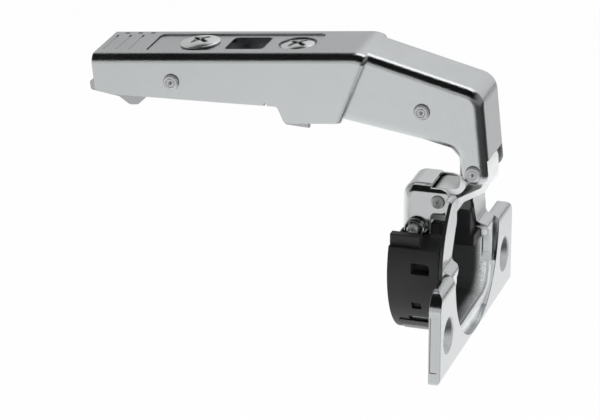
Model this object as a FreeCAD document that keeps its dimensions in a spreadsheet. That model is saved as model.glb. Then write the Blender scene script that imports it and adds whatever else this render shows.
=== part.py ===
import FreeCAD, Part
import math
import os

# Concealed cabinet hinge with a cranked clip-on arm, shown open.
# Frame: X along the cup's axis and out of the door, Y along the pivots, Z up, millimetres.
# The origin is the cup's centre on the door's face.
# The arm's pieces are drawn in the arm's own frame, u along the arm, w up, origin at its end pivot,
# and then turned and moved to their place by their Placement.

doc = FreeCAD.newDocument("cranked_hinge")
sheet = doc.addObject("Spreadsheet::Sheet", "sizes")

SIZES = [
    # Pivots
    ("upper_pivot_x", -4.69, "upper cup pivot, along X"),
    ("upper_pivot_z", 11.96, "upper cup pivot, height"),
    ("lower_pivot_x", -9.19, "lower cup pivot, along X"),
    ("lower_pivot_z", 6.45, "lower cup pivot, height"),
    ("end_pivot_x", 2.95, "arm's end pivot, along X"),
    ("end_pivot_z", 19.5, "arm's end pivot, height"),
    ("inner_pivot_u", -9.57, "arm's inner pivot, along the arm"),
    ("inner_pivot_w", 13.21, "arm's inner pivot, across the arm"),
    ("latch_pivot_u", -62.0, "latch pivot, along the arm"),
    ("latch_drop", 2.2, "latch pivot below the adjusting plate"),
    ("arm_tilt", 6.0, "rise of the open arm, degrees"),
    ("upper_pin_radius", 1.3, "upper cup pin"),
    ("lower_pin_radius", 1.2, "lower cup pin"),
    ("arm_pin_radius", 1.6, "pins of the arm"),
    ("pin_fit", 0.03, "radial play of a pin in a hole"),
    ("pin_proud", 0.8, "rivet end standing out of a wall"),
    ("pin_bevel", 0.3, "bevel of a rivet end"),
    ("pin_dimple_radius", 0.5, "dimple in a rivet end"),
    ("pin_groove", 0.25, "ring groove in a rivet end"),
    ("lower_pin_half", 9.0, "half length of the lower cup pin"),
    ("play", 0.3, "gap between pieces that move past each other"),
    ("over", 2.0, "how far a cutting shape runs past a face"),
    # Hinge cup
    ("cup_radius", 17.4, "rim of the cup"),
    ("flange_length", 57.0, "flange, end to end"),
    ("flange_sheet", 2.5, "flange, front to back"),
    ("flange_rise", 1.2, "flange above the cup's axis"),
    ("flange_fall", 18.4, "flange below the cup's axis"),
    ("flange_corner", 4.0, "upper corners of the flange"),
    ("flange_foot_corner", 0.8, "lower corners of the flange"),
    ("flange_roll", 1.9, "rolled upper edge of the flange"),
    ("flange_edge", 1.5, "rounded lower edge of the flange"),
    ("panel_depth", 0.15, "shallow panel in the flange's ends"),
    ("panel_back", 0.3, "panel from the door's face"),
    ("panel_front", 1.7, "front of the panel"),
    ("panel_low", 15.6, "foot of the panel below the cup's axis"),
    ("panel_high", 3.6, "head of the panel below the cup's axis"),
    ("rim_sink", 0.9, "rim's face behind the flange's face"),
    ("rim_seat", 0.3, "rim's back behind the door's face"),
    ("rim_roll", 1.5, "rolled edge above the recess"),
    ("post_sink", 0.4, "posts behind the door's face"),
    ("post_sheet", 0.7, "posts, front to back"),
    ("post_top", 14.0, "top of the posts"),
    ("post_foot", 1.9, "foot of the posts"),
    ("post_foot_bend", 1.2, "bend at the foot of the posts"),
    ("post_edge", 0.3, "rounded top of the posts"),
    ("gate_half", 6.4, "half gap between the posts at the top"),
    ("gate_neck_half", 7.2, "half gap at the neck"),
    ("gate_neck_z", 7.5, "height of the neck"),
    ("gate_sill_half", 9.8, "half gap at the sill"),
    ("gate_sill_z", 2.6, "height of the sill"),
    ("gate_round", 2.0, "rounding of the opening's corners"),
    ("recess_half", 13.3, "half width of the recess opening"),
    ("recess_head", 1.0, "head of the recess below the cup's axis"),
    ("recess_fall", 13.2, "foot of the recess below the cup's axis"),
    ("recess_corner", 4.6, "corners of the recess opening"),
    ("pan_sheet", 0.7, "sheet of the walls round the recess"),
    ("pan_depth", 7.6, "depth of those walls behind the door's face"),
    ("bite_depth", 1.6, "side bites of the recess"),
    ("bite_high", 1.8, "head of the bites below the cup's axis"),
    ("bite_low", 8.0, "foot of the bites below the cup's axis"),
    ("hole_spacing", 45.0, "screw holes, centre to centre"),
    ("hole_fall", 9.5, "screw holes below the cup's axis"),
    ("hole_radius", 2.1, "screw holes"),
    ("countersink_radius", 3.9, "countersinks at the face"),
    ("countersink_depth", 1.5, "depth of the countersinks"),
    ("skirt_sheet", 0.8, "sheet of the skirt"),
    ("skirt_depth", 10.5, "skirt behind the door's face"),
    ("skirt_chord", 11.6, "upper edge of the skirt below the cup's axis"),
    # Pivot bracket
    ("bracket_half", 5.4, "half width over the cheeks"),
    ("bracket_sheet", 0.9, "sheet of the bracket"),
    ("bracket_back", 12.4, "back of the bracket behind the door's face"),
    ("bracket_top", 15.3, "roof of the bracket"),
    ("bracket_foot", 3.0, "foot of the cheeks"),
    ("bracket_bend", 3.0, "bend from roof to back"),
    ("bracket_roll", 1.8, "bends from roof to cheeks"),
    ("roof_end", 6.4, "front end of the roof behind the door's face"),
    ("lobe_front", 2.2, "front of the cheeks behind the door's face"),
    ("lobe_rise", 2.6, "cheek round the upper pivot"),
    ("lobe_round", 2.2, "rounding of the cheek at the upper pivot"),
    ("waist_back", 6.3, "waist of the cheeks behind the door's face"),
    ("waist_round", 1.2, "rounding under the upper pivot"),
    ("ear_sheet", 1.2, "ears, front to back"),
    ("ear_half", 8.4, "ears, half width"),
    ("ear_low", 10.4, "ears, lower edge"),
    ("ear_high", 13.4, "ears, upper edge"),
    # Damper
    ("housing_radius", 17.2, "damper housing"),
    ("housing_back", 12.0, "back of the housing behind the door's face"),
    ("housing_top", 5.6, "top of the housing"),
    ("housing_fit", 0.1, "gap between housing and steel"),
    ("pocket_depth", 8.2, "depth of the housing's recess"),
    ("pocket_round", 1.0, "small roundings of the housing"),
    ("shoulder_fall", 2.4, "housing's shoulders below the cup's axis"),
    ("tab_back", 12.0, "side tabs, back behind the door's face"),
    ("tab_front", 5.7, "side tabs, front behind the door's face"),
    ("tab_top", 7.9, "top of the side tabs"),
    ("tab_in", 13.4, "inner face of the side tabs"),
    ("tab_out", 15.2, "outer face of the side tabs"),
    ("port_in", 14.7, "inner end of the ports in the housing's sides"),
    ("port_back", 7.0, "upper ports, back behind the door's face"),
    ("port_front", 3.2, "upper ports, front behind the door's face"),
    ("port_low", 0.5, "upper ports, foot"),
    ("port_high", 2.8, "upper ports, head"),
    ("vent_back", 7.1, "lower ports, back behind the door's face"),
    ("vent_front", 5.1, "lower ports, front behind the door's face"),
    ("vent_low", -7.75, "lower ports, foot"),
    ("vent_high", -6.2, "lower ports, head"),
    ("throat_half", 7.6, "half width of the throat"),
    ("link_pocket_half", 4.9, "half width of the links' pocket"),
    ("link_pocket_depth", 11.2, "depth of the links' pocket"),
    ("link_pocket_fall", 3.4, "foot of the links' pocket below the cup's axis"),
    ("spring_room", 2.5, "room round a closing spring"),
    ("slider_half", 4.0, "half width of the damper slider"),
    ("slider_z", -9.4, "height of the damper slider"),
    ("slider_height", 3.6, "height of the slider's face"),
    ("slider_length", 3.0, "damper slider along X"),
    ("slider_face", 6.2, "face of the slider behind the door's face"),
    ("slider_pocket", 11.6, "bottom of the slider's pocket"),
    ("slider_nose", 1.2, "rounded nose of the slider"),
    ("slider_heel", 0.4, "rounded back of the slider"),
    ("damper_radius", 1.35, "damper cylinder"),
    ("damper_half", 8.0, "half length of the damper cylinder"),
    ("damper_x", -10.1, "damper cylinder, along X"),
    ("damper_z", -5.25, "damper cylinder, height"),
    # Closing springs
    ("closing_wire", 0.55, "wire of a closing spring"),
    ("closing_coil", 1.72, "coil radius to the wire's centre"),
    ("closing_pitch", 0.72, "pitch of a closing spring"),
    ("closing_turns", 3.0, "turns of a closing spring"),
    ("closing_start", 6.0, "first coil from the middle"),
    # Links
    ("link_sheet", 1.2, "sheet of the links"),
    ("link_bend", 1.9, "bends of the links"),
    ("outer_link_half", 4.2, "half width of the outer link"),
    ("lower_eye", 2.25, "outer link's eye on the lower cup pin"),
    ("end_eye", 2.4, "outer link's eye on the arm's end pin"),
    ("outer_low_x", -2.6, "outer link's first bend, along X"),
    ("outer_low_z", 8.05, "outer link's first bend, height"),
    ("outer_mid_x", -0.9, "outer link's second bend, along X"),
    ("outer_mid_z", 12.0, "outer link's second bend, height"),
    ("outer_high_x", 4.85, "outer link's third bend, along X"),
    ("outer_high_z", 15.4, "outer link's third bend, height"),
    ("inner_link_half", 3.7, "half width of the inner link"),
    ("upper_eye", 2.45, "inner link's eye on the upper cup pin"),
    ("inner_neck_x", -0.05, "inner link's neck, along X"),
    ("inner_neck_z", 21.7, "inner link's neck, upper bend"),
    ("slot_angle", 116.0, "inner link's fork, degrees from X"),
    ("slot_run", 3.6, "travel of the pin along the slot"),
    ("slot_shift", -1.36, "slot's middle from the pin, along the slot"),
    ("slot_side", 0.44, "slot's middle from the pin, across the slot"),
    ("slot_play", 0.6, "play of the pin across the slot, to one side"),
    ("slot_wall", 1.1, "wall round the slot"),
    ("fork_reach", 0.9, "end of the fork beyond the pin"),
    # Arm
    ("arm_half", 8.6, "half width of the straight part"),
    ("arm_sheet", 1.1, "sheet of the arm"),
    ("arm_top", 25.8, "top of the straight part"),
    ("arm_rear", -79.0, "rear end"),
    ("arm_roll", 1.9, "bends along the top"),
    ("rear_low_w", 18.2, "lower corner of the rear end"),
    ("belly_u", -75.1, "rear end of the wall's lower edge"),
    ("belly_w", 17.3, "wall's lower edge at the rear"),
    ("flank_u", -60.7, "wall's lower edge at the latch"),
    ("flank_w", 16.2, "height of that edge"),
    ("step_u", -39.7, "step of the wall's lower edge"),
    ("step_w", 14.7, "wall's lower edge above the step"),
    ("step_run", 1.2, "length of the step"),
    ("heel_w", 11.1, "wall's lower edge below the step"),
    ("edge_round", 0.8, "rounding of the wall's corners"),
    ("belly_round", 2.0, "rounding of the wall's rear corner"),
    ("notch_u", -42.4, "small notch in the wall's lower edge"),
    ("notch_width", 0.5, "width of that notch"),
    ("notch_height", 0.7, "height of that notch"),
    ("crease_top_u", -19.6, "joggle at the top"),
    ("crease_low_u", -26.6, "joggle at the lower edge"),
    ("crease_round", 0.9, "outer rounding of the joggle"),
    ("crank_half", 7.05, "half width of the crank"),
    ("knee_u", -22.0, "bend from straight to slope"),
    ("knee_round", 4.5, "radius of that bend"),
    ("brow_u", 3.05, "front of the crank"),
    ("brow_w", 16.9, "bend from slope to front"),
    ("brow_round", 4.0, "radius of that bend"),
    ("nose_u", -3.05, "rear edge of the crank's end"),
    ("nose_fall", 2.95, "end of the crank below its pivot"),
    ("nose_round", 2.6, "rounding of the crank's end"),
    ("throat_w", 4.6, "inner corner of the crank"),
    ("throat_round", 2.2, "rounding of that corner"),
    ("chin_u", -10.7, "crank's lower edge, along the arm"),
    ("chin_w", 7.05, "crank's lower edge, across the arm"),
    ("web_end_w", 2.3, "lower end of the crank's front"),
    ("window_rear", -68.3, "rear end of the window"),
    ("window_front", -32.1, "front end of the window"),
    ("window_half", 5.4, "half width of the window"),
    ("window_corner", 1.2, "corners of the window"),
    ("groove_half", 4.6, "half length of the grooves across the arm"),
    ("groove_first", -78.0, "first groove, along the arm"),
    ("groove_pitch", 2.85, "grooves and pits, one to the next"),
    ("groove_count", 3, "grooves across the arm"),
    ("groove_width", 0.5, "width of a groove"),
    ("groove_depth", 0.2, "depth of a groove"),
    ("pit_at", 5.7, "row of pits from the middle"),
    ("pit_first", -76.7, "first pit, along the arm"),
    ("pit_width", 0.6, "width of a pit"),
    ("pit_length", 1.0, "length of a pit"),
    ("pit_depth", 0.5, "depth of a pit"),
    # Adjusting plate and its screws
    ("pad_gap", 0.2, "gap round the plate in the window"),
    ("pad_sink", 0.3, "plate below the arm's top"),
    ("plate_sheet", 1.0, "sheet of the plate"),
    ("plate_drop", 2.6, "plate's flanges below the arm's top"),
    ("plate_margin", 1.9, "plate's flanges beyond the window, along the arm"),
    ("plate_gap", 0.4, "plate's sides from the arm's walls"),
    ("plate_ear_half", 4.2, "half length of the plate's ears"),
    ("plate_ear_fall", 2.6, "ears below the latch pivot"),
    ("plate_ear_round", 2.0, "rounding of the plate's ears"),
    ("cam_u", -57.9, "depth cam, along the arm"),
    ("cam_radius", 4.2, "head of the depth cam"),
    ("cam_height", 1.1, "height of that head"),
    ("cam_shank", 2.2, "shank of the depth cam"),
    ("cam_edge", 0.35, "bevel of the cam's head"),
    ("slot_rear", -51.6, "rear end of the plate's slot"),
    ("slot_front", -43.2, "front end of the plate's slot"),
    ("slot_half", 3.8, "half width of the plate's slot"),
    ("slot_corner", 1.0, "corners of the plate's slot"),
    ("side_u", -36.8, "side screw, along the arm"),
    ("side_head", 3.6, "head of the side screw"),
    ("side_height", 0.9, "height of that head"),
    ("side_shank", 2.0, "shank of the side screw"),
    ("dish_radius", 4.0, "dish round the side screw"),
    ("dish_depth", 0.6, "depth of the dish"),
    ("cross_length", 4.2, "cross recess, tip to tip"),
    ("cross_width", 0.9, "cross recess, width"),
    ("cross_depth", 0.8, "cross recess, depth"),
    # Clip
    ("clip_sheet", 1.0, "sheet of the clip channel"),
    ("clip_rear", -55.6, "rear end of the clip channel"),
    ("clip_front", -34.2, "front end of the clip channel"),
    ("clip_wall_w", 16.9, "lower edge of the clip channel"),
    ("hook_rear", -39.6, "rear of the front hooks"),
    ("hook_w", 9.2, "tip of the front hooks"),
    ("hook_rise", 0.8, "tip of the hooks, front to rear"),
    ("hook_tooth", 1.1, "tooth of the hooks"),
    ("hook_round", 0.4, "small roundings of the hooks"),
    ("clip_round", 1.0, "corners of the clip's wall"),
    ("hook_notch", 1.6, "notch of the front hooks"),
    ("hook_notch_w", 12.4, "height of that notch"),
    ("latch_gap", 0.6, "latch's sides from the plate's ears"),
    ("latch_sheet", 1.0, "sheet of the latch"),
    ("latch_boss", 2.9, "latch round its pivot"),
    ("latch_shoulder", 1.5, "latch above its pivot"),
    ("latch_round", 1.2, "rounding of that shoulder"),
    ("latch_crest_w", 20.6, "upper edge of the latch's tail"),
    ("latch_tip_u", -81.2, "tip of the latch"),
    ("latch_tip_w", 17.3, "lower edge of the tip"),
    ("latch_tip_height", 1.8, "height of the tip"),
    ("latch_edge", 0.5, "rounding of the tip"),
    ("lug_rear", -75.1, "rear of the latch's lug"),
    ("lug_front", -68.9, "front of the latch's lug"),
    ("lug_w", 14.0, "lower edge of the lug"),
    ("lug_height", 1.8, "height of the lug"),
    ("lug_lean", 2.2, "lean of the lug's sides"),
    ("lug_round", 1.2, "rounding of the lug"),
    ("latch_wire", 0.7, "wire of the latch spring"),
    ("latch_coil", 2.15, "coil radius of the latch spring"),
    ("latch_pitch", 0.95, "pitch of the latch spring"),
    ("latch_turns", 5.0, "turns of the latch spring"),
    ("coil_chords", 16, "straight runs in one turn of a spring"),
    ("wire_sides", 8, "flats round a spring's wire"),
]

for row, (alias, number, meaning) in enumerate(SIZES, start=1):
    sheet.set("A%d" % row, meaning)
    sheet.set("B%d" % row, str(number))
    sheet.setAlias("B%d" % row, alias)
doc.recompute()

NODES = []
TINY = 1e-6
NEARLY = 0.999


def mm(alias):
    """Value of one cell of the sheet."""
    return float(sheet.get(alias))


def bind(thing, **formulas):
    """Tie properties of a document object to formulas over the sheet's cells."""
    for name, formula in formulas.items():
        thing.setExpression(name.replace("__", "."), formula)
    return thing


def rounded(corners):
    """Lines and arcs of a closed outline whose corners are (x, y, radius)."""
    count = len(corners)
    bends = []
    for k in range(count):
        here = FreeCAD.Vector(corners[k][0], corners[k][1], 0)
        radius = corners[k][2]
        before = FreeCAD.Vector(corners[k - 1][0], corners[k - 1][1], 0) - here
        after = FreeCAD.Vector(corners[(k + 1) % count][0], corners[(k + 1) % count][1], 0) - here
        if radius <= 0:
            bends.append((here, None, here))
            continue
        before.normalize()
        after.normalize()
        half = before.getAngle(after) / 2
        reach = radius / math.tan(half)
        inward = before + after
        inward.normalize()
        middle = here + inward * (radius / math.sin(half) - radius)
        bends.append((here + before * reach, middle, here + after * reach))
    edges = []
    for k in range(count):
        first, middle, last = bends[k]
        if middle is not None:
            edges.append(Part.Arc(first, middle, last))
        following = bends[(k + 1) % count][0]
        if last.distanceToPoint(following) > TINY:
            edges.append(Part.LineSegment(last, following))
    return edges


def strip(points, sheet_size, bend):
    """Corners of a bent strip of one thickness, from the points of its middle line."""
    half = sheet_size / 2
    count = len(points)
    left = []
    right = []
    for k in range(count):
        here = FreeCAD.Vector(points[k][0], points[k][1], 0)
        runs = []
        if k > 0:
            run = here - FreeCAD.Vector(points[k - 1][0], points[k - 1][1], 0)
            runs.append(run.normalize())
        if k < count - 1:
            run = FreeCAD.Vector(points[k + 1][0], points[k + 1][1], 0) - here
            runs.append(run.normalize())
        along = runs[0] + runs[-1]
        along.normalize()
        side = FreeCAD.Vector(-along.y, along.x, 0)
        reach = half / along.dot(runs[0])
        turn = runs[0].x * runs[-1].y - runs[0].y * runs[-1].x
        inner = bend - half if 0 < k < count - 1 else 0
        outer = bend + half if 0 < k < count - 1 else 0
        upper = here + side * reach
        lower = here - side * reach
        left.append((upper.x, upper.y, inner if turn > 0 else outer))
        right.append((lower.x, lower.y, outer if turn > 0 else inner))
    return left + right[::-1]


UPRIGHT = FreeCAD.Placement(FreeCAD.Vector(0, 0, 0), FreeCAD.Rotation(FreeCAD.Vector(1, 0, 0), 90))
FACING = FreeCAD.Placement(FreeCAD.Vector(0, 0, 0), FreeCAD.Rotation(FreeCAD.Vector(1, 1, 1), 120))
LEVEL = FreeCAD.Placement()


def sketch(name, corners, placement):
    """Closed outline drawn in a sketch."""
    drawing = doc.addObject("Sketcher::SketchObject", name + "_outline")
    drawing.Placement = placement
    drawing.addGeometry(rounded(corners), False)
    return drawing


def across(name, corners, half):
    """Outline in X and Z carried equally to both sides along Y; half is a formula."""
    slab = doc.addObject("Part::Extrusion", name)
    slab.Base = sketch(name, corners, UPRIGHT)
    slab.DirMode = "Normal"
    slab.Solid = True
    slab.Symmetric = True
    return bind(slab, LengthFwd="2 * (%s)" % half)


def forward(name, corners, back, front):
    """Outline in Y and Z carried along X from back to front; both are formulas."""
    slab = doc.addObject("Part::Extrusion", name)
    slab.Base = sketch(name, corners, FACING)
    slab.DirMode = "Normal"
    slab.Solid = True
    return bind(slab, LengthFwd=front, LengthRev="-(%s)" % back)


def upward(name, corners, low, high):
    """Outline in the arm's u and Y carried along w from low to high; both are formulas."""
    slab = doc.addObject("Part::Extrusion", name)
    slab.Base = sketch(name, corners, LEVEL)
    slab.DirMode = "Normal"
    slab.Solid = True
    return bind(slab, LengthFwd=high, LengthRev="-(%s)" % low)


def rectangle(x0, x1, half, radius=0):
    """Corners of a rectangle from x0 to x1, the same distance to both sides."""
    return [(x0, -half, radius), (x1, -half, radius), (x1, half, radius), (x0, half, radius)]


def bar(name, radius, x, z, half):
    """Round bar along Y at x and z; all are formulas."""
    rod = doc.addObject("Part::Cylinder", name)
    rod.Placement.Rotation = FreeCAD.Rotation(FreeCAD.Vector(1, 0, 0), -90)
    return bind(rod, Radius=radius, Height="2 * (%s)" % half, Placement__Base__x=x,
                Placement__Base__y="-(%s)" % half, Placement__Base__z=z)


def disc(name, radius, back, front):
    """Round disc on the cup's axis from back to front along X; all are formulas."""
    rod = doc.addObject("Part::Cylinder", name)
    rod.Placement.Rotation = FreeCAD.Rotation(FreeCAD.Vector(0, 1, 0), 90)
    return bind(rod, Radius=radius, Height="(%s) - (%s)" % (front, back), Placement__Base__x=back)


def post(name, radius, u, low, high):
    """Round post along w at u; all are formulas."""
    rod = doc.addObject("Part::Cylinder", name)
    return bind(rod, Radius=radius, Height="(%s) - (%s)" % (high, low), Placement__Base__x=u,
                Placement__Base__z=low)


def fuse(name, *things):
    joined = doc.addObject("Part::MultiFuse", name)
    joined.Shapes = list(things)
    joined.Refine = True
    return joined


def cut(name, base, *tools):
    tool = tools[0] if len(tools) == 1 else fuse(name + "_tools", *tools)
    trimmed = doc.addObject("Part::Cut", name)
    trimmed.Base = base
    trimmed.Tool = tool
    trimmed.Refine = True
    return trimmed


def common(name, *things):
    shared = doc.addObject("Part::MultiCommon", name)
    shared.Shapes = list(things)
    shared.Refine = True
    return shared


def round_edges(name, base, radius, chosen):
    """Fillet of the edges for which chosen(edge) holds."""
    doc.recompute()
    edges = []
    for k, edge in enumerate(base.Shape.Edges, start=1):
        if chosen(edge):
            edges.append((k, radius, radius))
    fillet = doc.addObject("Part::Fillet", name)
    fillet.Base = base
    fillet.Edges = edges
    return fillet


def turned(name, corners, x, z):
    """Body of revolution about Y: corners are (radius, y, rounding)."""
    ring = doc.addObject("Part::Revolution", name)
    ring.Source = sketch(name, corners, LEVEL)
    ring.Axis = (0, 1, 0)
    ring.Base = (0, 0, 0)
    ring.Angle = 360
    ring.Solid = True
    return bind(ring, Placement__Base__x=x, Placement__Base__z=z)


def rivet(radius, half):
    """Corners of a pin with bevelled, grooved and dimpled ends, half its length each way."""
    bevel = mm("pin_bevel")
    dimple = mm("pin_dimple_radius")
    groove = mm("pin_groove") / 2
    middle = (dimple + radius - bevel) / 2
    end = [(0, half - dimple, 0), (dimple, half, 0), (middle - groove, half, 0), (middle, half - groove, 0),
           (middle + groove, half, 0), (radius - bevel, half, 0), (radius, half - bevel, 0)]
    other_end = [(reach, -along, 0) for reach, along, bend in end]
    return end + other_end[::-1]


def coil(wire, radius, pitch, turns, start):
    """Shape of a coil spring along Y, its first wire centre at start, in short straight runs."""
    chords = int(mm("coil_chords"))
    sides = int(mm("wire_sides"))
    points = []
    for k in range(int(round(chords * turns)) + 1):
        angle = 2 * math.pi * k / chords
        forth = start + pitch * k / chords
        points.append(FreeCAD.Vector(radius * math.cos(angle), forth, radius * math.sin(angle)))
    run = points[1] - points[0]
    lift = run.cross(FreeCAD.Vector(1, 0, 0)).normalize()
    reach = lift.cross(run).normalize()
    flats = []
    for k in range(sides + 1):
        angle = 2 * math.pi * (k % sides + 0.5) / sides
        flats.append(points[0] + reach * (wire / 2 * math.cos(angle)) + lift * (wire / 2 * math.sin(angle)))
    return Part.makePolygon(points).makePipeShell([Part.makePolygon(flats)], True, False, 1)


def node(thing, label):
    """Finished piece under its own label."""
    thing.Label = label
    NODES.append(thing)
    return thing


def on_arm(thing, label):
    """Finished piece turned and moved from the arm's frame to its place."""
    thing.Placement = FreeCAD.Placement(FreeCAD.Vector(0, 0, 0),
                                        FreeCAD.Rotation(FreeCAD.Vector(0, 1, 0), -mm("arm_tilt")))
    bind(thing, Placement__Base__x="sizes.end_pivot_x", Placement__Base__z="sizes.end_pivot_z")
    return node(thing, label)


# Hinge cup: flange, rim disc with its posts, walls round the recess, skirt and screw holes.
over = mm("over")
cup_radius = mm("cup_radius")
flange_front = mm("flange_sheet")
flange_end = mm("flange_length") / 2
flange_low = -mm("flange_fall")
flange_high = mm("flange_rise")
flange_section = across("flange_section", [
    (0, flange_low, 0),
    (flange_front, flange_low, mm("flange_edge")),
    (flange_front, flange_high, mm("flange_roll")),
    (0, flange_high, 0)], "sizes.flange_length / 2")
flange_outline = forward("flange_outline", [
    (-flange_end, flange_low, mm("flange_foot_corner")),
    (flange_end, flange_low, mm("flange_foot_corner")),
    (flange_end, flange_high, mm("flange_corner")),
    (-flange_end, flange_high, mm("flange_corner"))], "0", "sizes.flange_sheet")
flange = common("flange", flange_section, flange_outline)
flange_ring = cut("flange_ring", flange, disc("rim_bore", "sizes.cup_radius", "-sizes.over",
                                              "sizes.flange_sheet + sizes.over"))

rim_front = flange_front - mm("rim_sink")
rim_back = -mm("rim_seat")
post_front = -mm("post_sink")
post_back = post_front - mm("post_sheet")
rim_section = across("rim_section", [
    (rim_back, -cup_radius, 0),
    (rim_front, -cup_radius, 0),
    (rim_front, mm("flange_rise"), mm("rim_roll")),
    (post_front, mm("post_foot"), mm("post_foot_bend")),
    (post_front, mm("post_top"), mm("post_edge")),
    (post_back, mm("post_top"), mm("post_edge")),
    (post_back, 0, 0),
    (rim_back, 0, 0)], "sizes.cup_radius")
rim_below = across("rim_below", [
    (post_back - over, flange_low, 0),
    (flange_front + over, flange_low, 0),
    (flange_front + over, mm("post_top") + over, 0),
    (post_back - over, mm("post_top") + over, 0)], "sizes.cup_radius")
rim_round = disc("rim_round", "sizes.cup_radius", "-sizes.post_sink - sizes.post_sheet", "sizes.flange_sheet")
rim = common("rim", rim_section, rim_below, rim_round)

skirt_outside = disc("skirt_outside", "sizes.cup_radius", "-sizes.skirt_depth", "0.5 * sizes.flange_sheet")
skirt_inside = disc("skirt_inside", "sizes.cup_radius - sizes.skirt_sheet", "-sizes.skirt_depth - sizes.over",
                    "sizes.flange_sheet")
skirt_ring = cut("skirt_ring", skirt_outside, skirt_inside)
skirt_part = across("skirt_part", [
    (-mm("skirt_depth") - over, flange_low, 0),
    (flange_front, flange_low, 0),
    (flange_front, -mm("skirt_chord"), 0),
    (-mm("skirt_depth") - over, -mm("skirt_chord"), 0)], "sizes.cup_radius")
skirt = common("skirt", skirt_ring, skirt_part)



def recess_outline(extra, head):
    """Corners of the recess, larger by extra at the sides and the foot, up to the height head."""
    half = mm("recess_half") + extra
    foot = -mm("recess_fall") - extra
    corner = mm("recess_corner") + extra
    return [(-half, foot, corner), (half, foot, corner), (half, head, 0), (-half, head, 0)]


fit = mm("housing_fit")
pan_head = -mm("shoulder_fall") - fit
pan_outside = forward("pan_outside", recess_outline(mm("pan_sheet"), pan_head), "-sizes.pan_depth",
                      "0.5 * sizes.flange_sheet")
pan_round = disc("pan_round", "sizes.cup_radius - sizes.skirt_sheet / 2", "-sizes.pan_depth",
                 "0.5 * sizes.flange_sheet")
pan = common("pan", pan_outside, pan_round)
pan_inside = forward("pan_inside", recess_outline(0, pan_head + over), "-sizes.pan_depth - sizes.over",
                     "sizes.flange_sheet")

gate_top = mm("post_top") + over
gate_round = mm("gate_round")
gate_shoulder = mm("gate_neck_z") + mm("gate_neck_half") - mm("gate_half")
opening_side = [
    (mm("recess_half"), -mm("recess_fall"), mm("recess_corner")),
    (mm("recess_half"), -mm("recess_head"), gate_round),
    (mm("gate_sill_half"), mm("gate_sill_z"), gate_round),
    (mm("gate_neck_half"), mm("gate_neck_z"), gate_round),
    (mm("gate_half"), gate_shoulder, gate_round),
    (mm("gate_half"), gate_top, 0)]
opening_other = [(-y, z, bend) for y, z, bend in opening_side]
opening = forward("opening", opening_side + opening_other[::-1],
                  "-sizes.post_sink - sizes.post_sheet - sizes.over", "sizes.flange_sheet + sizes.over")

bite_edge = mm("recess_half") + mm("bite_depth")
cup_cuts = []
for side, sign in (("near", -1), ("far", 1)):
    cup_cuts.append(forward(side + "_bite", [
        (sign * (mm("recess_half") - over), -mm("bite_high"), 0),
        (sign * mm("recess_half"), -mm("bite_high"), 0),
        (sign * bite_edge, -mm("bite_high") - mm("bite_depth"), 0),
        (sign * bite_edge, -mm("bite_low") + mm("bite_depth"), 0),
        (sign * mm("recess_half"), -mm("bite_low"), 0),
        (sign * (mm("recess_half") - over), -mm("bite_low"), 0)], "-sizes.rim_seat",
        "sizes.flange_sheet + sizes.over"))

panel_corners = [
    (mm("panel_back"), -mm("panel_low"), 0),
    (mm("panel_front"), -mm("panel_low"), 0),
    (mm("panel_front"), -mm("panel_high"), 0),
    (mm("panel_back"), -mm("panel_high"), 0)]
cup_cuts.append(cut("panels", across("panel_ends", panel_corners, "sizes.flange_length / 2 + sizes.over"),
                    across("panel_middle", panel_corners, "sizes.flange_length / 2 - sizes.panel_depth")))

for side, sign in (("near", "-"), ("far", "")):
    drill = doc.addObject("Part::Cylinder", side + "_screw_hole")
    drill.Placement.Rotation = FreeCAD.Rotation(FreeCAD.Vector(0, 1, 0), 90)
    bind(drill, Radius="sizes.hole_radius", Height="sizes.flange_sheet + 2 * sizes.over",
         Placement__Base__x="-sizes.over",
         Placement__Base__y=sign + "sizes.hole_spacing / 2", Placement__Base__z="-sizes.hole_fall")
    sink = doc.addObject("Part::Cone", side + "_countersink")
    sink.Placement.Rotation = FreeCAD.Rotation(FreeCAD.Vector(0, 1, 0), 90)
    bind(sink, Radius1="sizes.hole_radius", Radius2="sizes.countersink_radius",
         Height="sizes.countersink_depth",
         Placement__Base__x="sizes.flange_sheet - sizes.countersink_depth",
         Placement__Base__y=sign + "sizes.hole_spacing / 2", Placement__Base__z="-sizes.hole_fall")
    cup_cuts += [drill, sink]

cup_blank = fuse("cup_blank", flange_ring, rim, skirt, pan)
node(cut("cup", cup_blank, opening, pan_inside, *cup_cuts), "hinge_cup")

# Pivot bracket: bent box with two cheeks, its ears lie against the backs of the posts.
upper_x = mm("upper_pivot_x")
upper_z = mm("upper_pivot_z")
back_x = -mm("bracket_back")
lobe_front = -mm("lobe_front")
cheek_blank = across("cheek_blank", [
    (back_x, mm("bracket_foot"), 0),
    (-mm("waist_back"), mm("bracket_foot"), 0),
    (-mm("waist_back"), upper_z - mm("lobe_rise"), mm("waist_round")),
    (lobe_front, upper_z - mm("lobe_rise"), mm("lobe_round")),
    (lobe_front, upper_z + mm("lobe_rise"), mm("lobe_round")),
    (-mm("roof_end"), upper_z + mm("lobe_rise"), 0),
    (-mm("roof_end"), mm("bracket_top"), 0),
    (back_x, mm("bracket_top"), mm("bracket_bend"))], "sizes.bracket_half")


def is_bracket_bend(edge):
    """Side edges of the roof and the back of the bracket's blank."""
    box = edge.BoundBox
    at_side = box.YLength < TINY
    on_roof = box.ZMin > mm("bracket_top") - TINY and box.XMax < -mm("roof_end") + TINY
    on_back = box.XMax < back_x + TINY
    by_back = box.XMax < back_x + mm("bracket_bend") + TINY
    by_roof = box.ZMin > mm("bracket_top") - mm("bracket_bend") - TINY
    return at_side and (on_roof or on_back or (by_back and by_roof))


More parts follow.
